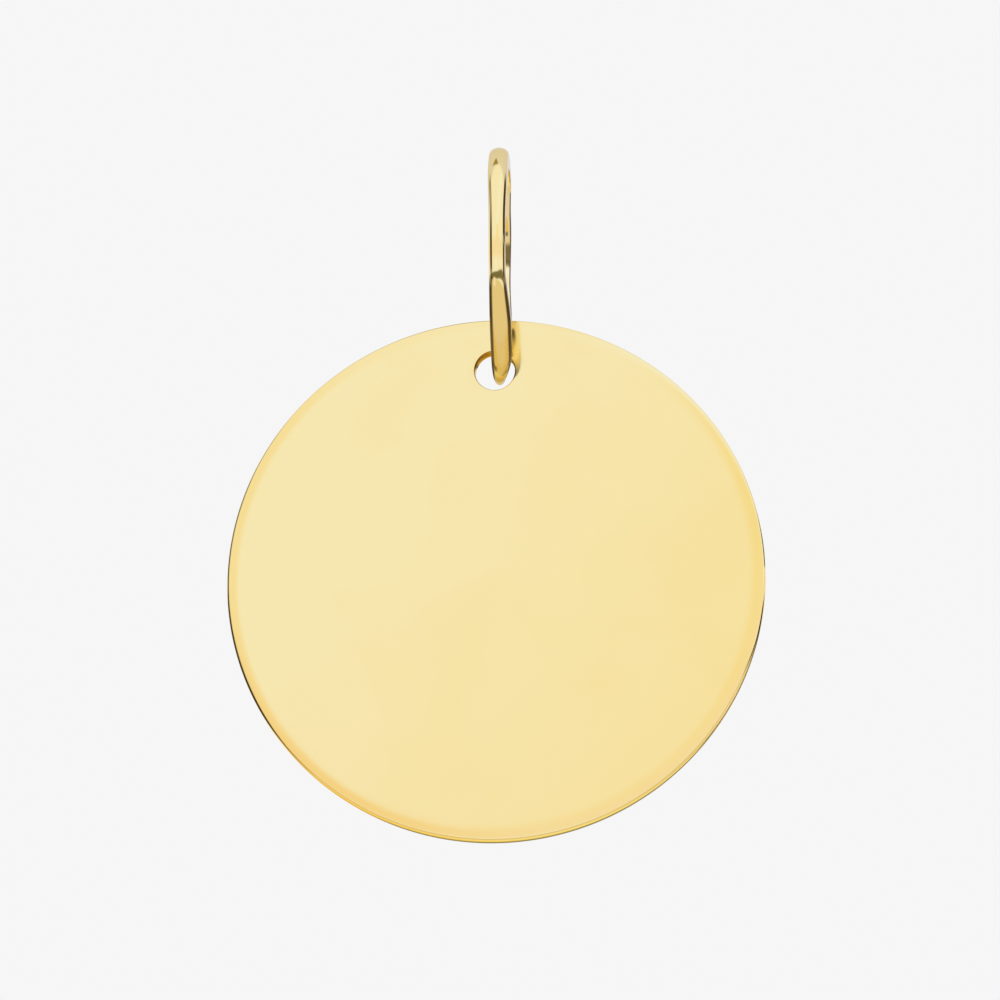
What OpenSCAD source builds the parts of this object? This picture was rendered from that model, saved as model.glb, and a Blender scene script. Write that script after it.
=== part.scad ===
// A plain round disc pendant that hangs from a closed jump ring.
// Millimetres, +Z up, front of the disc towards -Y.
// The origin is the inside top of the jump ring, where a chain bears on it.

/* [Disc] */
// Diameter of the disc
disc_d = 20; // [12:0.5:30]
// Thickness of the disc
disc_t = 0.65; // [0.4:0.05:1.2]
// Radius of the polished round along both edges of the rim
rim_round = 0.2; // [0.05:0.01:0.3]

/* [Hole] */
// Diameter of the drilled hole near the top edge
hole_d = 1.5; // [1.2:0.1:3]
// Distance from the hole's centre to the edge of the disc
hole_to_edge = 2; // [1.4:0.1:4]

/* [Jump ring] */
// Outer diameter of the jump ring
ring_d = 8.9; // [6:0.1:14]
// Width of the ring's oval section, seen from the front
ring_w = 0.75; // [0.5:0.05:0.95]
// Depth of the ring's oval section, measured towards the ring's centre
ring_depth = 0.9; // [0.8:0.05:1.1]

/* [How it hangs] */
// Gap between the ring and the upper side of the hole that hangs on it
hang_gap = 0.05; // [0.04:0.01:0.1]
// Sideways distance from the hole's centre to the ring, where the ring has come to rest
rest_side = 0.2; // [0:0.02:0.26]
// Turn of the ring about the hanging line, in degrees
ring_turn = 2.5; // [0:0.5:4]

/* [Hidden] */
$fn = 96;
gold = [0.93, 0.80, 0.47];
// The drill runs past both faces of the disc by this much
drill_past = 0.5;
// The round of the rim is never more than this share of the thickness
round_share = 0.48;
// The ring never rests further sideways than this share of the room in the hole
side_share = 0.9;

disc_r = disc_d / 2;
hole_r = hole_d / 2;
edge_r = min(rim_round, disc_t * round_share);
ring_out_r = ring_d / 2;
ring_in_r = ring_out_r - ring_depth;
ring_end_r = ring_w / 2;

// Places below the origin, worked out from the way the pieces hang: the round inner end of
// the ring's section lies in the upper side of the hole, hang_gap away from its wall. Inside
// the disc the ring also bends up by foot_rise and slews sideways by foot_slew.
ring_z = -ring_in_r;
end_z = ring_z - ring_in_r - ring_end_r;
foot_rise = ring_in_r - sqrt(ring_in_r * ring_in_r - disc_t * disc_t / 4);
foot_slew = disc_t / 2 * tan(ring_turn);
seat_r = hole_r - ring_end_r - hang_gap;
seat_side = min(rest_side, seat_r * side_share - foot_slew);
seat_h = sqrt(pow(seat_r, 2) - pow(seat_side + foot_slew, 2));
hole_z = end_z + foot_rise - seat_h;
hole_x = -seat_side;
hole_offset = disc_r - hole_to_edge;
disc_z = hole_z - hole_offset;

// Half of the disc's cross-section, from its axis to its rounded rim
module disc_half_section() {
    flat_r = disc_r - edge_r;
    flat_h = disc_t / 2 - edge_r;
    translate([0, -disc_t / 2])
        square([flat_r, disc_t]);
    translate([0, -flat_h])
        square([disc_r, 2 * flat_h]);
    for (side = [-1, 1])
        translate([flat_r, side * flat_h])
            circle(r = edge_r);
}

// The ring's oval section: two round ends joined by flat sides
module ring_section() {
    inner_end = ring_in_r + ring_end_r;
    outer_end = ring_out_r - ring_end_r;
    translate([inner_end, 0])
        circle(r = ring_end_r);
    translate([outer_end, 0])
        circle(r = ring_end_r);
    translate([inner_end, -ring_end_r])
        square([outer_end - inner_end, ring_w]);
}

// Polished disc, hanging below the ring in the plane of X and Z
module disc() {
    color(gold)
    translate([hole_x, 0, disc_z])
    rotate([90, 0, 0])
    difference() {
        rotate_extrude()
            disc_half_section();
        translate([0, hole_offset, 0])
            cylinder(r = hole_r, h = disc_t + 2 * drill_past, center = true);
    }
}

// Closed ring that stands close to the plane of Y and Z and passes through the disc's hole
module jump_ring() {
    color(gold)
    translate([0, 0, ring_z])
    rotate([0, 90, ring_turn])
    rotate_extrude()
        ring_section();
}

disc();
jump_ring();
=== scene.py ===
"""Looks of a plain gold disc pendant that hangs from a closed jump ring, in metres, +Z up."""

from __future__ import annotations

import logging
import math
from abc import ABC, abstractmethod
from dataclasses import dataclass
from enum import Enum
from typing import Union

import bmesh
import bpy
from mathutils import Matrix, Vector

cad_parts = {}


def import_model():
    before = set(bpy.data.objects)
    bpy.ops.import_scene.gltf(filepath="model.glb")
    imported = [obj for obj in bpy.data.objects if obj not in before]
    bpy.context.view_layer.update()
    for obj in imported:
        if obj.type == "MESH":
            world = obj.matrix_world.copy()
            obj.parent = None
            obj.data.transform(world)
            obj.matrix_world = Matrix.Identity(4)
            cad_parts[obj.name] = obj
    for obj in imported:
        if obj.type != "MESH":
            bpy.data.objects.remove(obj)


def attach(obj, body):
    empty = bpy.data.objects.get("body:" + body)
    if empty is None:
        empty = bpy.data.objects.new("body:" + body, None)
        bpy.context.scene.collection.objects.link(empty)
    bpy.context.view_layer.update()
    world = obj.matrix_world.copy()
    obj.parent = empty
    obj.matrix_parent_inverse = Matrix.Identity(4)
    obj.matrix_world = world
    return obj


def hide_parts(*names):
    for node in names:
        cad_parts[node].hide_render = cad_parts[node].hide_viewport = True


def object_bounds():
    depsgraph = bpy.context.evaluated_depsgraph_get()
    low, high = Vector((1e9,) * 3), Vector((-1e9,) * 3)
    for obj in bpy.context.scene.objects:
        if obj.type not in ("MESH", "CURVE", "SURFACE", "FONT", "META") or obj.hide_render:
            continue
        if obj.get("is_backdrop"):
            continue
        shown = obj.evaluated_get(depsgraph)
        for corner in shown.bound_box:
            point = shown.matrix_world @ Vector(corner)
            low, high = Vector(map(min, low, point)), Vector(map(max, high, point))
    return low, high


LOG = logging.getLogger("pendant")
MM = 0.001
# The mesh attribute that holds the ring's painted shade and painted highlights
PAINTED_LIGHT = "skin"
Colour = tuple[float, float, float]
# A smooth step's two ends
Step = tuple[float, float]
# A band's two ends, at half strength, and the width of each end's slope
Band = tuple[float, float, float]
# A noise pattern's features to the metre and its layers of detail
Noise = tuple[float, float]
# Slopes in degrees against distances from a wall in millimetres
Roll = tuple[tuple[float, float], ...]
# Where the Mix node keeps its factor, its two colours and its mixed colour
MIX_FACTOR, MIX_FIRST, MIX_SECOND, MIX_RESULT = 0, 6, 7, 2


class Body(Enum):
    """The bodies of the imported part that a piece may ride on."""

    RING = "ring"
    PENDANT = "pendant"


class Slot(Enum):
    """The record's material slots."""

    RING_GOLD = "ring_gold"
    DISC_GOLD = "disc_gold"


class Side(Enum):
    """A face of the sheet, with the sign of its place along Y."""

    FRONT = -1
    BACK = 1


# Nodes


class Signal:
    """A number that flows from a node's socket. Arithmetic on it adds Math nodes."""

    def __init__(self, sheet: "NodeSheet", socket: bpy.types.NodeSocket) -> None:
        """Wraps one output socket.

        Args:
            sheet: The node sheet that the socket's node lies on.
            socket: The output socket.
        """
        self.sheet = sheet
        self.socket = socket

    def maths(self, operation: str, *others: "Number") -> "Signal":
        """Adds one Math node.

        Args:
            operation: The Math node's operation.
            *others: The node's second and third inputs.

        Returns:
            The node's result.
        """
        values = dict(enumerate((self, *others)))
        return self.sheet.signal("ShaderNodeMath", {"operation": operation}, values)

    def reversed_maths(self, operation: str, first: "Number") -> "Signal":
        """Adds one Math node whose second input is this signal."""
        values = {0: first, 1: self}
        return self.sheet.signal("ShaderNodeMath", {"operation": operation}, values)

    def __add__(self, other: "Number") -> "Signal":
        """Adds."""
        return self.maths("ADD", other)

    def __radd__(self, other: "Number") -> "Signal":
        """Adds, with this signal on the right."""
        return self.reversed_maths("ADD", other)

    def __sub__(self, other: "Number") -> "Signal":
        """Subtracts."""
        return self.maths("SUBTRACT", other)

    def __rsub__(self, other: "Number") -> "Signal":
        """Subtracts this signal."""
        return self.reversed_maths("SUBTRACT", other)

    def __mul__(self, other: "Number") -> "Signal":
        """Multiplies."""
        return self.maths("MULTIPLY", other)

    def __rmul__(self, other: "Number") -> "Signal":
        """Multiplies, with this signal on the right."""
        return self.reversed_maths("MULTIPLY", other)

    def __neg__(self) -> "Signal":
        """Turns the sign."""
        return self.maths("MULTIPLY", -1.0)

    def sin(self) -> "Signal":
        """Sine of an angle in radians."""
        return self.maths("SINE")

    def cos(self) -> "Signal":
        """Cosine of an angle in radians."""
        return self.maths("COSINE")

    def abs(self) -> "Signal":
        """Size without sign."""
        return self.maths("ABSOLUTE")

    def sign(self) -> "Signal":
        """Sign alone."""
        return self.maths("SIGN")

    def power(self, exponent: "Number") -> "Signal":
        """This signal raised to a power."""
        return self.maths("POWER", exponent)

    def degrees(self) -> "Signal":
        """An angle in radians as degrees."""
        return self.maths("DEGREES")

    def rise(self, start: "Number", end: "Number") -> "Signal":
        """Goes smoothly from 0 at start to 1 at end.

        Args:
            start: The value that gives 0.
            end: The value that gives 1, above start.

        Returns:
            The smooth step.
        """
        inputs = {"Value": self, "From Min": start, "From Max": end}
        settings = {"interpolation_type": "SMOOTHSTEP"}
        return self.sheet.signal("ShaderNodeMapRange", settings, inputs)

    def fall(self, start: "Number", end: "Number") -> "Signal":
        """Goes smoothly from 1 at start to 0 at end."""
        return 1.0 - self.rise(start, end)

    def band(self, low: float, high: float, soft: float) -> "Signal":
        """Is 1 between two values and 0 outside them.

        Args:
            low: The lower end, at half strength.
            high: The upper end, at half strength.
            soft: The width of each end's slope.

        Returns:
            The band's strength.
        """
        half = soft / 2
        return self.rise(low - half, low + half) * self.fall(high - half, high + half)


Number = Union[float, Signal]
Input = Union[float, int, bool, tuple, Signal, bpy.types.NodeSocket, bpy.types.Material]
Key = Union[str, int]
Inputs = dict[Key, Input]
Paint = Union[Colour, bpy.types.NodeSocket]


class NodeSheet:
    """A node tree, with one way to add any node."""

    def __init__(self, tree: bpy.types.NodeTree) -> None:
        """Empties the tree.

        Args:
            tree: The node tree to write on.
        """
        self.tree = tree
        tree.nodes.clear()

    def node(self, kind: str, settings: dict[str, object], inputs: Inputs) -> bpy.types.Node:
        """Adds a node.

        Args:
            kind: The node's type.
            settings: Its own settings, set first.
            inputs: Values or links for its sockets, by name or number.

        Returns:
            The new node.
        """
        made = self.tree.nodes.new(kind)
        for name, value in settings.items():
            setattr(made, name, value)
        for key, value in inputs.items():
            socket = made.inputs[key]
            if isinstance(value, Signal):
                self.tree.links.new(value.socket, socket)
            elif isinstance(value, bpy.types.NodeSocket):
                self.tree.links.new(value, socket)
            else:
                socket.default_value = value
        return made

    def signal(self, kind: str, settings: dict[str, object], inputs: Inputs, out: Key = 0) -> Signal:
        """Adds a node and gives one of its outputs as a signal."""
        return Signal(self, self.node(kind, settings, inputs).outputs[out])

    def mix(self, factor: Number, first: Paint, second: Paint) -> bpy.types.NodeSocket:
        """Mixes two colours.

        Args:
            factor: 0 gives the first and 1 the second.
            first: A colour or a colour socket.
            second: The same.

        Returns:
            The mixed colour's socket.
        """
        pair = [(*paint, 1.0) if isinstance(paint, tuple) else paint for paint in (first, second)]
        inputs = {MIX_FACTOR: factor, MIX_FIRST: pair[0], MIX_SECOND: pair[1]}
        return self.node("ShaderNodeMix", {"data_type": "RGBA"}, inputs).outputs[MIX_RESULT]

    def dot(self, vector: bpy.types.NodeSocket, direction: tuple[float, float, float]) -> Signal:
        """Dot product of a vector with a fixed direction."""
        inputs = {0: vector, 1: direction}
        return self.signal("ShaderNodeVectorMath", {"operation": "DOT_PRODUCT"}, inputs, "Value")

    def parts(self, vector: bpy.types.NodeSocket) -> tuple[Signal, Signal, Signal]:
        """The three parts of a vector."""
        x, y, z = self.node("ShaderNodeSeparateXYZ", {}, {0: vector}).outputs
        return Signal(self, x), Signal(self, y), Signal(self, z)


# Finishes


@dataclass(frozen=True)
class PolishedGold(ABC):
    """Polished yellow gold, with faint smudges and wiping marks on it."""

    name: str
    tone: Colour
    roughness: float
    smudge: float
    ripple: float
    grain: float
    centre: Vector
    glance: Colour
    gloss: float = 0.5
    smudge_noise: Noise = (260.0, 4.0)
    smudge_step: Step = (0.42, 0.72)
    ripple_noise: Noise = (170.0, 1.0)
    wipe_turn: float = math.radians(34)
    wipe_scales: tuple[float, float, float] = (90.0, 500.0, 2600.0)
    wipe_noise: Noise = (1.0, 2.0)

    def make(self) -> bpy.types.Material:
        """Builds the material.

        Returns:
            The material, which reads Object coordinates and, on the wire, the painted shade and painted
            highlights that the mesh marks.
        """
        material = bpy.data.materials.new(self.name)
        material.use_nodes = True
        sheet = NodeSheet(material.node_tree)
        place = sheet.node("ShaderNodeTexCoord", {}, {}).outputs["Object"]
        middle = {"Vector": place, "Location": tuple(-part for part in self.centre)}
        centred = sheet.node("ShaderNodeMapping", {}, middle).outputs[0]
        inputs = {
            "Base Color": self._colour(sheet, centred),
            "Metallic": self._metal(sheet, centred),
            "Roughness": self._rough(sheet, centred),
            "Specular Tint": (*self.glance, 1.0),
            "Specular IOR Level": self.gloss,
            "Normal": self._surface(sheet, centred),
        }
        shader = sheet.node("ShaderNodeBsdfPrincipled", {}, inputs)
        sheet.node("ShaderNodeOutputMaterial", {}, {"Surface": shader.outputs[0]})
        return material

    @abstractmethod
    def _metal(self, sheet: NodeSheet, place: bpy.types.NodeSocket) -> Signal:
        """Gives how metallic the skin is.

        Args:
            sheet: The material's nodes.
            place: The place from the piece's centre.

        Returns:
            1 on bare metal, and less where the skin is dull.
        """

    @abstractmethod
    def _colour(self, sheet: NodeSheet, place: bpy.types.NodeSocket) -> bpy.types.NodeSocket:
        """Gives the skin's colour.

        Args:
            sheet: The material's nodes.
            place: The place from the piece's centre.

        Returns:
            The colour's socket.
        """

    def _rough(self, sheet: NodeSheet, place: bpy.types.NodeSocket) -> Signal:
        """Gives the roughness, with cloudy smudges."""
        clouds = self._noise(sheet, place, self.smudge_noise).rise(*self.smudge_step)
        return self.roughness + self.smudge * clouds

    def _noise(self, sheet: NodeSheet, place: bpy.types.NodeSocket, noise: Noise) -> Signal:
        """Adds a noise pattern."""
        inputs = {"Vector": place, "Scale": noise[0], "Detail": noise[1]}
        return sheet.signal("ShaderNodeTexNoise", {}, inputs, "Fac")

    def _surface(self, sheet: NodeSheet, place: bpy.types.NodeSocket) -> bpy.types.NodeSocket:
        """Adds the polish's broad ripple and the fine wiping marks.

        Args:
            sheet: The material's nodes.
            place: The place from the piece's centre.

        Returns:
            The bumped normal.
        """
        broad = self._noise(sheet, place, self.ripple_noise)
        streaks = {"Vector": place, "Rotation": (0.0, self.wipe_turn, 0.0), "Scale": self.wipe_scales}
        wiped = sheet.node("ShaderNodeMapping", {}, streaks).outputs[0]
        fine = self._noise(sheet, wiped, self.wipe_noise)
        ripples = {"Strength": 1.0, "Distance": self.ripple, "Height": broad}
        rippled = sheet.node("ShaderNodeBump", {}, ripples).outputs[0]
        marks = {"Strength": 1.0, "Distance": self.grain, "Height": fine, "Normal": rippled}
        return sheet.node("ShaderNodeBump", {}, marks).outputs[0]


@dataclass(frozen=True)
class WireGold(PolishedGold):
    """Polished gold wire, scuffed at the foot, with a pale painted highlight near the foot and painted
    shade along its shoulders and in a patch on its inner side.
    """

    # The colours of the painted shade and of the pale painted highlight
    painted_shade_tone: Colour = (0.11, 0.06, 0.008)
    painted_highlight_tone: Colour = (1.0, 0.98, 0.96)
    dullness: float = 0.85
    scuff: float = 0.15
    # Heights from the ring's centre where the scuffing starts and is full
    scuff_from: float = -3.0 * MM
    scuff_to: float = -3.7 * MM

    def _painted_light(self, sheet: NodeSheet) -> Signal:
        """Reads the painted shade and painted highlights that the mesh marks."""
        return sheet.signal("ShaderNodeAttribute", {"attribute_name": PAINTED_LIGHT}, {}, "Fac")

    def _metal(self, sheet: NodeSheet, place: bpy.types.NodeSocket) -> Signal:
        """Dulls the painted shade, so that it stays dark at a glance."""
        return 1.0 - self._painted_light(sheet).rise(0.0, 1.0) * self.dullness

    def _colour(self, sheet: NodeSheet, place: bpy.types.NodeSocket) -> bpy.types.NodeSocket:
        """Paints shade or a highlight on the gold where the mesh marks its skin."""
        skin = self._painted_light(sheet)
        # Above zero the skin mixes in painted shade, below zero a painted highlight
        return sheet.mix(skin, sheet.mix(-skin, self.tone, self.painted_highlight_tone), self.painted_shade_tone)

    def _rough(self, sheet: NodeSheet, place: bpy.types.NodeSocket) -> Signal:
        """Adds the scuffing to the smudges."""
        _, _, up = sheet.parts(place)
        return super()._rough(sheet, place) + self.scuff * up.fall(self.scuff_to, self.scuff_from)


@dataclass(frozen=True)
class PunchedGold(PolishedGold):
    """Polished gold sheet with painted shade on the upper side of its drilled bore and on its rim, where
    the punched wall is also rough and dull.
    """

    cloud_tone: Colour = (0.97, 0.795, 0.365)
    cloud_noise: Noise = (210.0, 3.0)
    cloud_step: Step = (0.46, 0.66)
    cloud_strength: float = 0.5
    side_reflection_tone: Colour = (0.975, 0.75, 0.29)
    # The side's band of painted reflection is this wide, and deepens towards this way over this share of
    # the radius
    band: float = 0.5 * MM
    side_way: tuple[float, float] = (-0.97, -0.26)
    side_reach: float = 0.8
    bore_shade_tone: Colour = (0.60, 0.40, 0.12)
    bore_offset: float = 8.0 * MM
    bore_radius: float = 0.75 * MM
    # The painted shade on the upper side of the bore starts within this share of its radius from the middle
    bore_level: float = 0.2
    skin: float = 0.02 * MM
    rim_radius: float = 10.0 * MM
    edge_shade_tone: Colour = (0.44, 0.34, 0.12)
    edge_width: float = 0.08 * MM
    # The edge's painted shade darkens it between these places at the far left, in shares of the radius
    edge_sides: Step = (-0.96, -0.86)
    torn_shade_tone: Colour = (0.26, 0.22, 0.075)
    # The torn skin, with its painted shade, starts here through the sheet, and its middle and reach are
    # shares of the radius
    torn_from: float = -0.10 * MM
    torn_middle: float = 0.2
    torn_reach: Step = (0.55, 0.75)
    tear: float = 0.45
    dullness: float = 0.6

    def _edge(self, across: Signal, up: Signal) -> Signal:
        """Marks the disc's outermost strip, with its wall."""
        inner = self.rim_radius - self.edge_width
        return distance(across, up).rise(inner - self.skin, inner)

    def _torn_and_shaded(self, sheet: NodeSheet, place: bpy.types.NodeSocket) -> Signal:
        """Marks the back of the rim's wall, apart from the left and right, where the punch tore it and
        where shade is painted.

        Args:
            sheet: The material's nodes.
            place: The place from the disc's centre.

        Returns:
            1 on the torn skin and 0 elsewhere.
        """
        across, through, up = sheet.parts(place)
        torn = self._edge(across, up) * through.rise(self.torn_from, self.torn_from + 2 * self.skin)
        return torn * (across * (1 / self.rim_radius) - self.torn_middle).abs().fall(*self.torn_reach)

    def _metal(self, sheet: NodeSheet, place: bpy.types.NodeSocket) -> Signal:
        """Dulls the torn skin under its painted shade, so that it stays dark at a glance."""
        return 1.0 - self._torn_and_shaded(sheet, place) * self.dullness

    def _rough(self, sheet: NodeSheet, place: bpy.types.NodeSocket) -> Signal:
        """Adds the tearing to the smudges."""
        return super()._rough(sheet, place) + self.tear * self._torn_and_shaded(sheet, place)

    def _colour(self, sheet: NodeSheet, place: bpy.types.NodeSocket) -> bpy.types.NodeSocket:
        """Clouds the gold faintly, paints a deeper reflection in a band along the left of the rim, and
        paints shade on the edge at the far left, on the torn wall and on the upper side of the bore.

        Args:
            sheet: The material's nodes.
            place: The place from the disc's centre.

        Returns:
            The colour's socket.
        """
        across, _, up = sheet.parts(place)
        clouds = self._noise(sheet, place, self.cloud_noise).rise(*self.cloud_step)
        colour = sheet.mix(clouds * self.cloud_strength, self.tone, self.cloud_tone)
        band = distance(across, up).rise(self.rim_radius - self.band, self.rim_radius - self.band / 2)
        # A painted reflection: a deeper gold in the band inside the rim, towards the left
        aside = across * self.side_way[0] + up * self.side_way[1]
        painted_reflection = band * aside.rise(0.0, self.side_reach * self.rim_radius)
        colour = sheet.mix(painted_reflection, colour, self.side_reflection_tone)
        # Painted shade on the edge at the far left
        far_left = across.fall(*(share * self.rim_radius for share in self.edge_sides))
        colour = sheet.mix(self._edge(across, up) * far_left, colour, self.edge_shade_tone)
        # Painted shade on the torn back of the rim's wall
        colour = sheet.mix(self._torn_and_shaded(sheet, place), colour, self.torn_shade_tone)
        # Painted shade on the upper side of the bore
        above_bore = up - self.bore_offset
        wall = self.bore_radius + self.skin
        bore = distance(across, above_bore).fall(wall, wall + self.skin)
        level = self.bore_level * self.bore_radius
        return sheet.mix(bore * above_bore.rise(-level, level), colour, self.bore_shade_tone)


def distance(across: Signal, up: Signal) -> Signal:
    """Distance from the middle, in the plane of the disc."""
    return (across * across + up * up).power(0.5)


# Studio


@dataclass
class PhotoCamera:
    """The camera of the photograph: a little to the right of the disc and well below it."""

    target: Vector
    yaw: float = math.radians(4.4)
    pitch: float = math.radians(15.2)
    roll: float = math.radians(-0.13)
    distance: float = 0.3
    # The focal length in widths of the sensor
    focal_share: float = 8.097
    sensor: float = 36.0
    # Where the target lands, in widths of the picture from its middle
    aim: tuple[float, float] = (-0.0041, -0.0798)
    nearest: float = 0.01
    farthest: float = 20.0

    def toward(self) -> Vector:
        """Direction from the disc to the camera."""
        level = math.cos(self.pitch)
        return Vector((math.sin(self.yaw) * level, -math.cos(self.yaw) * level, -math.sin(self.pitch)))

    def make(self) -> bpy.types.Object:
        """Adds the camera, so that the disc's centre lands on its place in the picture.

        Returns:
            The camera's object.
        """
        away = self.toward()
        forward = -away
        right = forward.cross(Vector((0, 0, 1))).normalized()
        up = right.cross(forward)
        cos, sin = math.cos(self.roll), math.sin(self.roll)
        axes = Matrix((cos * right + sin * up, -sin * right + cos * up, forward))
        seen = Vector((self.aim[0] / self.focal_share, self.aim[1] / self.focal_share, 1.0)).normalized()
        turn = Vector((0, 0, 1)).rotation_difference(seen).to_matrix()
        rows = turn @ axes
        frame = Matrix((rows[0], rows[1], -rows[2])).transposed().to_4x4()
        data = bpy.data.cameras.new("photo_camera")
        data.sensor_width = self.sensor
        data.lens = self.focal_share * self.sensor
        data.clip_start = self.nearest
        data.clip_end = self.farthest
        camera = bpy.data.objects.new("photo_camera", data)
        camera.matrix_world = Matrix.Translation(self.target + away * self.distance) @ frame
        bpy.context.scene.collection.objects.link(camera)
        bpy.context.scene.camera = camera
        return camera


@dataclass
class LightTent:
    """A soft white tent round the pendant, with the dark gaps and the warm table of such a set.

    Its light is laid out by the tilt of a mirror that would show it to the photograph's camera:
    `tilt` is the mirror's upward turn in degrees, and `side` the sine of its turn to the right.
    """

    toward: Vector
    backdrop: Colour = (0.922, 0.922, 0.922)
    cool: Colour = (0.949, 0.997, 1.19)
    plain: Colour = (0.949, 0.962, 1.03)
    yellow: Colour = (0.949, 0.870, 0.66)
    warm: Colour = (0.94, 0.86, 0.78)
    table: Colour = (0.79, 0.685, 0.49)
    low: Colour = (0.98, 0.88, 0.52)
    amber: Colour = (0.78, 0.55, 0.11)
    high: Colour = (0.77, 0.77, 0.88)
    patch: Colour = (0.36, 0.27, 0.07)
    olive: Colour = (0.20, 0.175, 0.095)
    brown: Colour = (0.075, 0.05, 0.012)
    # Where each zone lies: tilts are in degrees, and sides are sines
    warm_tilts: Band = (4.0, 13.0, 5.0)
    table_tilts: Step = (-8.0, -6.6)
    low_tilts: Step = (-60.0, -54.0)
    amber_tilts: Step = (-71.0, -65.0)
    amber_sides: Step = (-0.85, -0.7)
    back_tilts: Step = (-79.0, -76.5)
    high_arch: float = 34.0
    high_tilts: Step = (56.0, 61.0)
    # The patch is a wedge that leans and narrows upwards
    patch_tilts: Step = (57.0, 59.0)
    patch_side: float = 0.72
    patch_lean: float = 0.009
    patch_taper: float = 0.036
    patch_widths: Step = (2.30, 2.38)
    # The olive strip rises to the right, and sags in its middle
    olive_slant: float = 2.4
    olive_sag: float = 1.2
    olive_tilts: Band = (-6.9, -3.3, 1.0)
    olive_sides: Step = (0.85, 0.95)
    beside_tilts: Band = (-11.0, -6.6, 0.6)
    beside_sides: Band = (-0.46, -0.22, 0.05)
    behind_tilts: Band = (-50.0, -34.0, 4.0)
    behind_sides: Band = (0.68, 0.86, 0.03)
    # The dark gaps at both sides, above and below the olive strip
    upper_tilts: Band = (-5.0, 50.0, 12.0)
    lower_tilts: Step = (-7.0, -4.0)
    tip_tilts: Step = (-68.0, -56.0)
    tip_shift: float = 0.2
    left_upper: Band = (-0.83, -0.60, 0.06)
    left_lower: Step = (-0.68, -0.60)
    left_faint_tilts: Step = (15.0, 35.0)
    left_faintness: float = 0.35
    right_upper_start: Step = (0.69, 0.75)
    right_upper_end: Step = (0.87, 0.93)
    right_border_tilts: Step = (16.0, 24.0)
    right_border: float = 0.14
    right_faint_tilts: Band = (13.0, 17.0, 1.5)
    right_faintness: float = 0.3
    right_lower: Step = (0.64, 0.72)
    right_clear_tilts: Band = (-56.0, -28.0, 8.0)
    right_clear: float = 0.25
    right_end: Step = (0.965, 0.985)
    # The middle and half the size of the zone that the disc's face mirrors
    face_side: float = -0.0767
    face_width: float = 0.0166
    face_tilt: float = 15.25
    face_height: float = 0.95
    card_slant: tuple[float, float] = (0.85, 0.53)
    cool_band: Band = (-1.5, 12.0, 3.0)
    yellow_step: Step = (-1.7, 3.0)
    yellow_tilts: Band = (9.0, 20.0, 5.0)
    card_middle: float = 5.0
    card_reach: Step = (5.0, 12.0)

    def make(self) -> bpy.types.World:
        """Builds the world.

        Returns:
            The scene's world.
        """
        world = bpy.data.worlds.new("light_tent")
        world.use_nodes = True
        sheet = NodeSheet(world.node_tree)
        way = sheet.node("ShaderNodeTexCoord", {}, {}).outputs["Generated"]
        tilt, side = self._mirror(sheet, way)
        colour = self._paint(sheet, tilt, side)
        tent = sheet.node("ShaderNodeBackground", {}, {"Color": colour})
        plain = sheet.node("ShaderNodeBackground", {}, {"Color": (*self.backdrop, 1.0)})
        seen = sheet.node("ShaderNodeLightPath", {}, {}).outputs["Is Camera Ray"]
        both = sheet.node("ShaderNodeMixShader", {}, {0: seen, 1: tent.outputs[0], 2: plain.outputs[0]})
        sheet.node("ShaderNodeOutputWorld", {}, {"Surface": both.outputs[0]})
        bpy.context.scene.world = world
        return world

    def _mirror(self, sheet: NodeSheet, way: bpy.types.NodeSocket) -> tuple[Signal, Signal]:
        """Works out which way a mirror faces when it shows a direction of the tent.

        Args:
            sheet: The world's nodes.
            way: The direction looked up.

        Returns:
            The mirror's tilt in degrees and the sine of its turn to the right.
        """
        right = Vector((-self.toward.y, self.toward.x, 0)).normalized()
        raised = self.toward.cross(right)
        added = sheet.node("ShaderNodeVectorMath", {"operation": "ADD"}, {0: way, 1: tuple(self.toward)})
        level = sheet.node("ShaderNodeVectorMath", {"operation": "NORMALIZE"}, {0: added.outputs[0]})
        half = level.outputs[0]
        near = sheet.dot(half, tuple(self.toward))
        tilt = sheet.dot(half, tuple(raised)).maths("ARCTAN2", near).degrees()
        return tilt, sheet.dot(half, tuple(right))

    def _paint(self, sheet: NodeSheet, tilt: Signal, side: Signal) -> bpy.types.NodeSocket:
        """Lays the tent's light out.

        Args:
            sheet: The world's nodes.
            tilt: The mirror's tilt.
            side: The sine of the mirror's turn.

        Returns:
            The light's colour.
        """
        glow = self._card(sheet, tilt, side)
        glow = sheet.mix(tilt.band(*self.warm_tilts), glow, self.warm)
        glow = sheet.mix(tilt.fall(*self.table_tilts), glow, self.table)
        glow = sheet.mix(tilt.fall(*self.low_tilts), glow, self.low)
        glow = sheet.mix(tilt.fall(*self.amber_tilts) * side.rise(*self.amber_sides), glow, self.amber)
        glow = sheet.mix(tilt.fall(*self.back_tilts), glow, self.warm)
        arched = tilt + side * side * self.high_arch
        glow = sheet.mix(arched.rise(*self.high_tilts), glow, self.high)
        wedge = (side + self.patch_side - tilt * self.patch_lean).abs() + tilt * self.patch_taper
        glow = sheet.mix(tilt.rise(*self.patch_tilts) * wedge.fall(*self.patch_widths), glow, self.patch)
        strip = tilt - side * self.olive_slant - side.abs() * self.olive_sag
        strip = strip.band(*self.olive_tilts) * side.abs().fall(*self.olive_sides)
        glow = sheet.mix(strip, glow, self.olive)
        beside = tilt.band(*self.beside_tilts) * side.band(*self.beside_sides)
        behind = tilt.band(*self.behind_tilts) * side.band(*self.behind_sides)
        glow = sheet.mix(beside.maths("MAXIMUM", behind), glow, self.warm)
        return sheet.mix(self._gaps(tilt, side), glow, self.brown)

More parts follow.
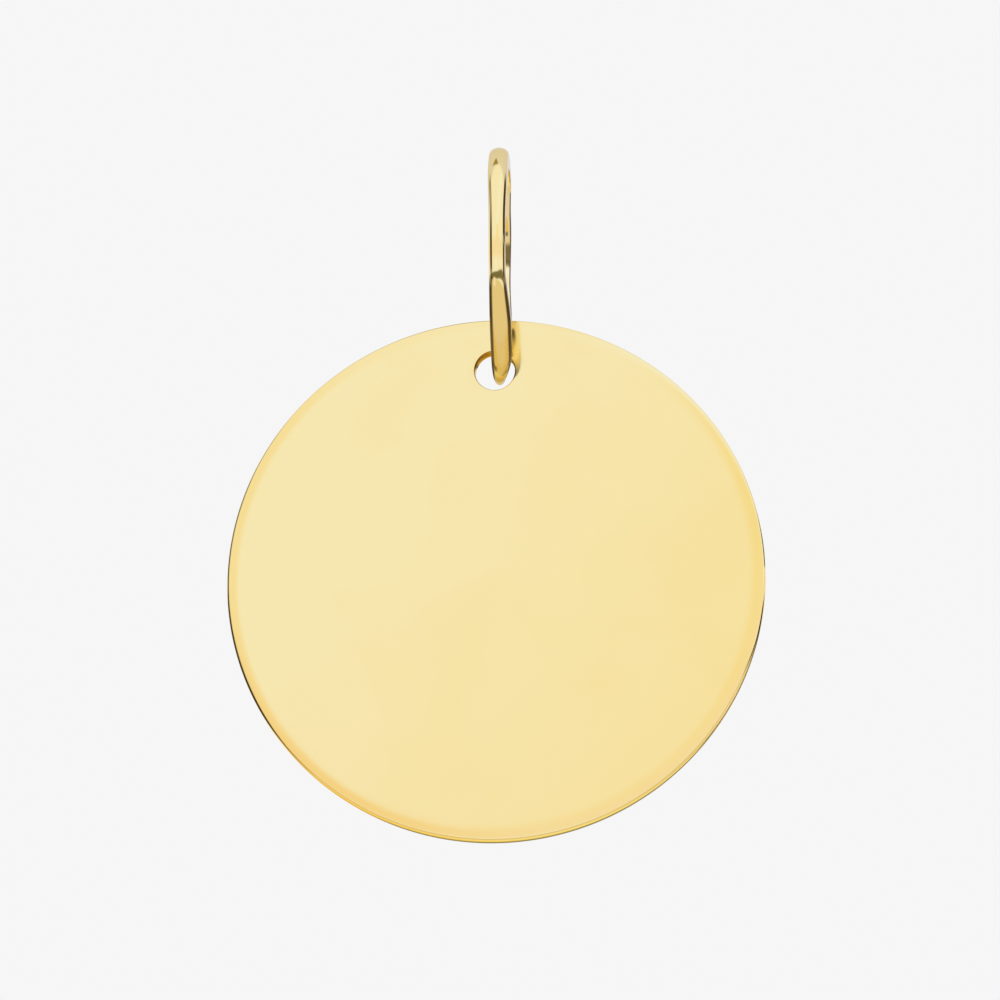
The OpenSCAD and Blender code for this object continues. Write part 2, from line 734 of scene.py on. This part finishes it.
    def _gaps(self, tilt: Signal, side: Signal) -> Signal:
        """Marks the dark gaps at both sides of the tent.

        Args:
            tilt: The mirror's tilt.
            side: The sine of the mirror's turn.

        Returns:
            How dark it is, from 0 to 1.
        """
        upper, lower = tilt.band(*self.upper_tilts), tilt.fall(*self.lower_tilts)
        tip = tilt.fall(*self.tip_tilts) * self.tip_shift
        left = lower * tilt.rise(*self.back_tilts) * (side + tip).fall(*self.left_lower)
        faint = 1.0 - tilt.rise(*self.left_faint_tilts) * self.left_faintness
        left = left + upper * faint * side.band(*self.left_upper)
        border = tilt.rise(*self.right_border_tilts) * self.right_border
        right = upper * side.rise(*self.right_upper_start) * (side - border).fall(*self.right_upper_end)
        right = right * (1.0 - tilt.band(*self.right_faint_tilts) * self.right_faintness)
        clear = tilt.band(*self.right_clear_tilts) * self.right_clear
        right = right + lower * (side - clear - tip).rise(*self.right_lower)
        return left.maths("MAXIMUM", right * side.fall(*self.right_end))

    def _card(self, sheet: NodeSheet, tilt: Signal, side: Signal) -> bpy.types.NodeSocket:
        """Paints the card that the disc's face mirrors: cool at the upper left, yellow at the lower right.

        Args:
            sheet: The world's nodes.
            tilt: The mirror's tilt.
            side: The sine of the mirror's turn.

        Returns:
            The card's colour.
        """
        across = (side - self.face_side) * (1 / self.face_width)
        down = (self.face_tilt - tilt) * (1 / self.face_height)
        slope = across * self.card_slant[0] + down * self.card_slant[1]
        colour = sheet.mix(slope.band(*self.cool_band), self.plain, self.cool)
        yellowing = slope.rise(*self.yellow_step) * tilt.band(*self.yellow_tilts)
        colour = sheet.mix(yellowing, colour, self.yellow)
        return sheet.mix((slope - self.card_middle).abs().rise(*self.card_reach), colour, self.plain)


@dataclass
class Floor:
    """A plain pale floor, well below the hanging pendant."""

    height: float = -0.14
    reach: float = 6.0
    tone: Colour = (0.922, 0.922, 0.922)

    def make(self) -> bpy.types.Object:
        """Adds the floor as a stage piece that stays out of the gold's reflections.

        Returns:
            The floor's object.
        """
        shape = bmesh.new()
        bmesh.ops.create_grid(shape, x_segments=1, y_segments=1, size=self.reach)
        bmesh.ops.translate(shape, verts=shape.verts, vec=(0, 0, self.height))
        mesh = bpy.data.meshes.new("floor")
        shape.to_mesh(mesh)
        shape.free()
        floor = bpy.data.objects.new("floor", mesh)
        bpy.context.scene.collection.objects.link(floor)
        mesh.materials.append(self._paper())
        floor.visible_glossy = False
        floor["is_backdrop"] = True
        return floor

    def _paper(self) -> bpy.types.Material:
        """Builds the evenly lit paper of the floor.

        Returns:
            The paper's material.
        """
        material = bpy.data.materials.new("pale_paper")
        material.use_nodes = True
        sheet = NodeSheet(material.node_tree)
        glow = sheet.node("ShaderNodeEmission", {}, {"Color": (*self.tone, 1.0)})
        sheet.node("ShaderNodeOutputMaterial", {}, {"Surface": glow.outputs[0]})
        return material


# The ring


@dataclass
class JumpRing:
    """The closed ring of oval wire, which thins along its sides and swells where the disc hangs."""

    centre: Vector
    outer: float = 4.45 * MM
    depth: float = 0.9 * MM
    turn: float = math.radians(2.5)
    # Half the wire's width at each place, and how far its outer side is domed there
    side_width: float = 0.305 * MM
    swell_width: float = 0.398 * MM
    foot_width: float = 0.238 * MM
    cap_width: float = 0.362 * MM
    side_dome: float = 0.31 * MM
    foot_dome: float = 0.44 * MM
    cap_dome: float = 0.26 * MM
    inner_dome: float = 0.15 * MM
    inner_bluntness: float = 0.7
    lean: float = 0.082 * MM
    far_lean: float = 0.05 * MM
    steps_round: int = 360
    steps_across: int = 64
    # Points this close are joined, where the bent grid's edges meet
    weld: float = 0.001 * MM
    # Degrees round the loop from the foot, where each change starts and ends: the front is below zero
    swell_span: Step = (40.0, 72.0)
    swell_end: Step = (15.0, 50.0)
    worn_middle: float = 17.0
    worn_reach: Step = (0.0, 42.0)
    worn_stretch: float = 0.7
    worn_lean: float = 1.9
    cap_span: Step = (96.0, 132.0)
    cap_dome_span: Step = (125.0, 165.0)
    far_span: Band = (85.0, 150.0, 25.0)
    # The height in the wire's section, as its sine, where the inner side turns into the outer
    turn_over: Step = (-0.001, 0.001)
    # The skin's marks of painted shade and painted highlights: spans are degrees round the loop, and sides
    # are places across the wire
    shoulder_span: Band = (-66.0, 16.0, 8.0)
    shoulder_sides: Step = (0.64, 0.74)
    inner_span: Band = (90.0, 158.0, 6.0)
    inner_sides: Step = (0.72, 0.9)
    inner_patch_span: Band = (107.0, 122.0, 6.0)
    inner_patch_sides: Step = (0.0, 0.3)
    inner_patch_shade: float = 0.9
    shade_start: Step = (-70.0, -62.0)
    shade_end: Step = (-60.0, -38.0)
    shade_sides: Band = (-0.2, 0.5, 0.25)
    # Painted shade that deepens the gold at the foot
    foot_span: Band = (-3.0, 16.0, 8.0)
    foot_painted_shade: float = 0.3
    # The tongue: a pale painted reflection on the front of the wire, near the foot
    tongue_start: Step = (-36.5, -26.0)
    tongue_slant: float = 7.0
    tongue_end: Step = (-22.0, -10.0)
    tongue_root: float = -42.0
    tongue_taper: float = 0.013
    tongue_sides: Step = (0.5, 0.78)
    tongue_painted_highlight: float = 0.9
    # A pale painted highlight on the wire's inner side
    inner_painted_highlight: float = 0.5

    def make(self, finish: PolishedGold) -> bpy.types.Object:
        """Builds the ring and puts it in the place of its solid.

        Args:
            finish: The ring's finish.

        Returns:
            The ring's object.
        """
        gold = finish.make()
        host = bpy.data.objects.new("ring_wire", bpy.data.meshes.new("ring_wire_seed"))
        bpy.context.scene.collection.objects.link(host)
        modifier = host.modifiers.new("wire", "NODES")
        modifier.node_group = self._tree(gold)
        for item in modifier.node_group.interface.items_tree:
            if item.in_out == "INPUT" and item.socket_type != "NodeSocketGeometry":
                modifier[item.identifier] = getattr(self, item.name)
        graph = bpy.context.evaluated_depsgraph_get()
        mesh = bpy.data.meshes.new_from_object(host.evaluated_get(graph), depsgraph=graph)
        mesh.name = "ring_wire"
        host.modifiers.clear()
        host.data = mesh
        self._place(mesh)
        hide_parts("jump_ring")
        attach(host, Body.RING.value)
        return host

    def _place(self, mesh: bpy.types.Mesh) -> None:
        """Turns the finished mesh into its place and makes its faces point outwards.

        Args:
            mesh: The wire's mesh, round the middle of the scene.
        """
        shape = bmesh.new()
        shape.from_mesh(mesh)
        spin = Matrix.Translation(self.centre) @ Matrix.Rotation(self.turn, 4, "Z")
        bmesh.ops.transform(shape, matrix=spin, verts=shape.verts)
        bmesh.ops.recalc_face_normals(shape, faces=shape.faces)
        shape.to_mesh(mesh)
        shape.free()

    def _tree(self, gold: bpy.types.Material) -> bpy.types.NodeTree:
        """Builds the tree that bends a grid into the wire.

        Args:
            gold: The wire's material.

        Returns:
            The geometry tree, with the ring's sizes as its named inputs.
        """
        tree = bpy.data.node_groups.new("ring_wire", "GeometryNodeTree")
        sheet = NodeSheet(tree)
        widths = ("side_width", "swell_width", "foot_width", "cap_width")
        domes = ("side_dome", "foot_dome", "cap_dome", "inner_dome", "inner_bluntness")
        sizes = ("outer", "depth", *widths, *domes, "lean", "far_lean")
        for name in sizes:
            tree.interface.new_socket(name, in_out="INPUT", socket_type="NodeSocketFloat")
        for name in ("steps_round", "steps_across"):
            tree.interface.new_socket(name, in_out="INPUT", socket_type="NodeSocketInt")
        tree.interface.new_socket("Geometry", in_out="OUTPUT", socket_type="NodeSocketGeometry")
        given = sheet.node("NodeGroupInput", {}, {})
        size = {name: Signal(sheet, given.outputs[name]) for name in sizes}
        counts = {"Vertices X": given.outputs["steps_round"], "Vertices Y": given.outputs["steps_across"]}
        grid = sheet.node("GeometryNodeMeshGrid", {}, {"Size X": 1.0, "Size Y": 1.0, **counts})
        u, v, _ = sheet.parts(sheet.node("GeometryNodeInputPosition", {}, {}).outputs[0])
        loop, around = u * math.tau, v * math.tau
        kept = {"data_type": "FLOAT", "domain": "POINT"}
        # The grid's points keep the painted shade and painted highlights
        inputs = {"Geometry": grid.outputs["Mesh"], "Name": PAINTED_LIGHT, "Value": self._painted_light(loop, around)}
        last = sheet.node("GeometryNodeStoreNamedAttribute", kept, inputs)
        for kind, inputs in (
            ("GeometryNodeSetPosition", {"Position": self._section(sheet, size, loop, around)}),
            ("GeometryNodeMergeByDistance", {"Distance": self.weld}),
            ("GeometryNodeSetShadeSmooth", {"Shade Smooth": True}),
            ("GeometryNodeRealizeInstances", {}),
            ("GeometryNodeSetMaterial", {"Material": gold}),
        ):
            last = sheet.node(kind, {}, {"Geometry": last.outputs[0], **inputs})
        sheet.node("NodeGroupOutput", {}, {0: last.outputs[0]})
        return tree

    def _section(
        self, sheet: NodeSheet, size: dict[str, Signal], loop: Signal, around: Signal,
    ) -> bpy.types.NodeSocket:
        """Works out where a point of the flat grid goes.

        Args:
            sheet: The tree's nodes.
            size: The ring's sizes.
            loop: The point's angle round the ring, from the foot.
            around: Its angle round the wire.

        Returns:
            The point's place on the wire, with the loop in the plane of Y and Z.
        """
        along = loop.degrees()
        from_foot = loop.abs().degrees()
        swell = from_foot.fall(*self.swell_span) * along.fall(*self.swell_end)
        past = along - self.worn_middle
        worn = (past * self.worn_stretch).maths("MAXIMUM", -past).fall(*self.worn_reach)
        cap = from_foot.rise(*self.cap_span)
        width = size["side_width"] + swell * (size["swell_width"] - size["side_width"])
        width = width + cap * (size["cap_width"] - size["side_width"])
        width = width + worn * (size["foot_width"] - size["swell_width"])
        dome = size["side_dome"] + worn * (size["foot_dome"] - size["side_dome"])
        dome = dome + from_foot.rise(*self.cap_dome_span) * (size["cap_dome"] - size["side_dome"])
        lift, reach = around.sin(), around.cos()
        outside = lift.rise(*self.turn_over)
        bend = size["inner_bluntness"] + outside * (1.0 - size["inner_bluntness"])
        sideways = reach.sign() * reach.abs().power(bend) * width
        sideways = sideways + size["lean"] * (swell - worn * self.worn_lean)
        sideways = sideways - along.band(*self.far_span) * size["far_lean"]
        inner = size["outer"] - size["depth"] + (1.0 + lift) * size["inner_dome"]
        radius = inner + outside * (size["outer"] - dome + lift * dome - inner)
        place = {0: sideways, 1: loop.sin() * radius, 2: -(loop.cos() * radius)}
        return sheet.node("ShaderNodeCombineXYZ", {}, place).outputs[0]

    def _painted_light(self, loop: Signal, around: Signal) -> Signal:
        """Marks the painted shade and the painted highlights.

        Args:
            loop: The point's angle round the ring, from the foot.
            around: Its angle round the wire.

        Returns:
            The skin: above zero it is painted shade, as the dark reflections on the shoulders near the
                disc, and below zero it is a pale painted highlight.
        """
        along, reach = loop.degrees(), around.cos()
        outside = around.sin().rise(*self.turn_over)
        inside = (1.0 - outside) * along.band(*self.inner_span)
        shade = (1.0 - outside) * along.rise(*self.shade_start) * along.fall(*self.shade_end)
        dark = along.band(*self.shoulder_span) * outside * reach.abs().rise(*self.shoulder_sides)
        # Painted shade: dark reflections on the shoulders, the inner side's dark edge and patch, the shade
        # near the disc and a deeper gold at the foot
        for mark in (
            inside * reach.rise(*self.inner_sides),
            inside * along.band(*self.inner_patch_span) * reach.rise(*self.inner_patch_sides) * self.inner_patch_shade,
            shade * reach.band(*self.shade_sides),
            outside * along.band(*self.foot_span) * self.foot_painted_shade,
        ):
            dark = dark.maths("MAXIMUM", mark)
        # Painted highlights: a pale reflection on the front near the foot, and a paler inner side
        tongue = (reach.abs() + (along - self.tongue_root) * self.tongue_taper).fall(*self.tongue_sides)
        tongue = tongue * (along + reach.abs() * self.tongue_slant).rise(*self.tongue_start)
        tongue = tongue * along.fall(*self.tongue_end)
        pale = outside * tongue * self.tongue_painted_highlight + inside * self.inner_painted_highlight
        return dark - pale * (1.0 - dark)


# The disc


@dataclass
class PendantDisc:
    """The polished disc with its drilled hole, lofted through circles from the bore to the rim and back."""

    centre: Vector
    radius: float = 10.0 * MM
    thickness: float = 0.65 * MM
    hole_radius: float = 0.75 * MM
    hole_offset: float = 8.0 * MM
    crown: float = 0.035 * MM
    crown_loops: int = 10
    points_round: int = 480
    face_loops: int = 5
    rim_roll: Roll = (
        (0.0, 0.62), (0.6, 0.48), (1.8, 0.34), (5.0, 0.17), (10.0, 0.065), (14.0, 0.042),
        (42.0, 0.034), (48.0, 0.002), (76.0, 0.0),
    )
    hole_roll: Roll = ((0.0, 0.05), (8.0, 0.032), (30.0, 0.015), (90.0, 0.0))
    roll_steps: int = 3

    def make(self, finish: PolishedGold) -> bpy.types.Object:
        """Builds the disc and puts it in the place of its solid.

        Args:
            finish: The disc's finish.

        Returns:
            The disc's object.
        """
        circles = self._circles()
        shape = bmesh.new()
        loops = [self._loop(shape, *circle) for circle in circles]
        count = self.points_round
        for inner, outer in zip(loops, loops[1:] + loops[:1]):
            for i in range(count):
                j = (i + 1) % count
                shape.faces.new((inner[i], inner[j], outer[j], outer[i])).smooth = True
        bmesh.ops.recalc_face_normals(shape, faces=shape.faces)
        mesh = bpy.data.meshes.new("disc_sheet")
        shape.to_mesh(mesh)
        shape.free()
        mesh.materials.append(finish.make())
        disc = bpy.data.objects.new("disc_sheet", mesh)
        bpy.context.scene.collection.objects.link(disc)
        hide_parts("disc")
        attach(disc, Body.PENDANT.value)
        return disc

    def _loop(
        self, shape: bmesh.types.BMesh, up: float, radius: float, y: float,
    ) -> list[bmesh.types.BMVert]:
        """Adds one circle of points.

        Args:
            shape: The mesh in work.
            up: Height of the circle's centre above the disc's.
            radius: The circle's radius.
            y: Its place through the sheet.

        Returns:
            The circle's points in order.
        """
        made = []
        for i in range(self.points_round):
            turn = math.tau * i / self.points_round
            spot = Vector((radius * math.sin(turn), y, up + radius * math.cos(turn)))
            made.append(shape.verts.new(self.centre + spot))
        return made

    def _roll(self, slopes: Roll) -> list[tuple[float, float]]:
        """Follows a rolled edge from the flat face out to the upright wall.

        Args:
            slopes: The edge's slopes, the flat face's first.

        Returns:
            Distance from the wall and drop below the face at each point, the wall's first.
        """
        fine = []
        for (slope, away), (next_slope, next_away) in zip(slopes, slopes[1:]):
            for k in range(self.roll_steps):
                share = k / self.roll_steps
                fine.append((slope + (next_slope - slope) * share, away + (next_away - away) * share))
        fine.append(slopes[-1])
        drop, found = 0.0, [(fine[0][1] * MM, 0.0)]
        for (slope, away), (next_slope, next_away) in zip(fine, fine[1:]):
            middle = math.radians((slope + next_slope) / 2)
            drop += math.tan(middle) * (away - next_away) * MM
            found.append((next_away * MM, drop))
        return found[::-1]

    def _circles(self) -> list[tuple[float, float, float]]:
        """Lists the disc's circles, from the middle of the bore over the front to the rim and back.

        Returns:
            For each, the height of its centre above the disc's, its radius and its place along Y.
        """
        half = self.thickness / 2
        bore, rim = self._roll(self.hole_roll), self._roll(self.rim_roll)
        front: list[tuple[float, float, float]] = []
        for away, drop in bore:
            front.append((self.hole_offset, self.hole_radius + away, half - drop))
        inner = self.hole_radius + bore[-1][0]
        outer = self.radius - self.crown - rim[-1][0]
        for k in range(1, self.face_loops):
            share = (k / self.face_loops) * (k / self.face_loops)
            front.append((self.hole_offset * (1 - share), inner + (outer - inner) * share, half))
        for away, drop in reversed(rim):
            front.append((0.0, self.radius - self.crown - away, half - drop))
        wall = half - rim[0][1]
        circles = [(self.hole_offset, self.hole_radius, 0.0)]
        circles += [(up, radius, Side.FRONT.value * y) for up, radius, y in front]
        for k in range(1, self.crown_loops):
            share = 2 * k / self.crown_loops - 1
            circles.append((0.0, self.radius - self.crown * share * share, wall * share))
        circles += [(up, radius, Side.BACK.value * y) for up, radius, y in reversed(front)]
        return circles


# Main


def keep_sizes(name: str, store: dict[str, list[list[float]]]) -> None:
    """Notes the shown object's box under a name."""
    store[name] = [list(corner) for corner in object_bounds()]


def main() -> None:
    """Builds the studio and the pendant's two pieces, and logs each."""
    logging.basicConfig(level=logging.INFO, format="%(name)s: %(message)s")
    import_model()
    sizes: dict[str, list[list[float]]] = {}
    keep_sizes("cad", sizes)
    bpy.context.scene.view_settings.view_transform = "Standard"

    ring_centre = Vector((0, 0, -3.55)) * MM
    disc_centre = Vector((-0.2, 0, -15.7045254)) * MM
    camera = PhotoCamera(target=disc_centre)
    camera.make()
    LightTent(toward=camera.toward()).make()
    Floor().make()
    LOG.info("studio: camera, light tent and floor")

    tone = (0.975, 0.82, 0.405)
    ring_gold = WireGold(
        name="ring_gold", tone=tone, roughness=0.06, smudge=0.03, ripple=0.6e-6,
        grain=0.1e-6, centre=ring_centre, glance=(0.95, 0.86, 0.62), gloss=0.12,
    )
    disc_gold = PunchedGold(
        name="disc_gold", tone=tone, roughness=0.07, smudge=0.03, ripple=1.2e-6,
        grain=0.15e-6, centre=disc_centre, glance=(1.0, 0.9, 0.62),
    )
    ring = JumpRing(centre=ring_centre).make(ring_gold)
    disc = PendantDisc(centre=disc_centre).make(disc_gold)
    for piece in (ring, disc):
        LOG.info("%s: %d faces", piece.name, len(piece.data.polygons))

    keep_sizes("visual", sizes)


if __name__ == "__main__":
    main()
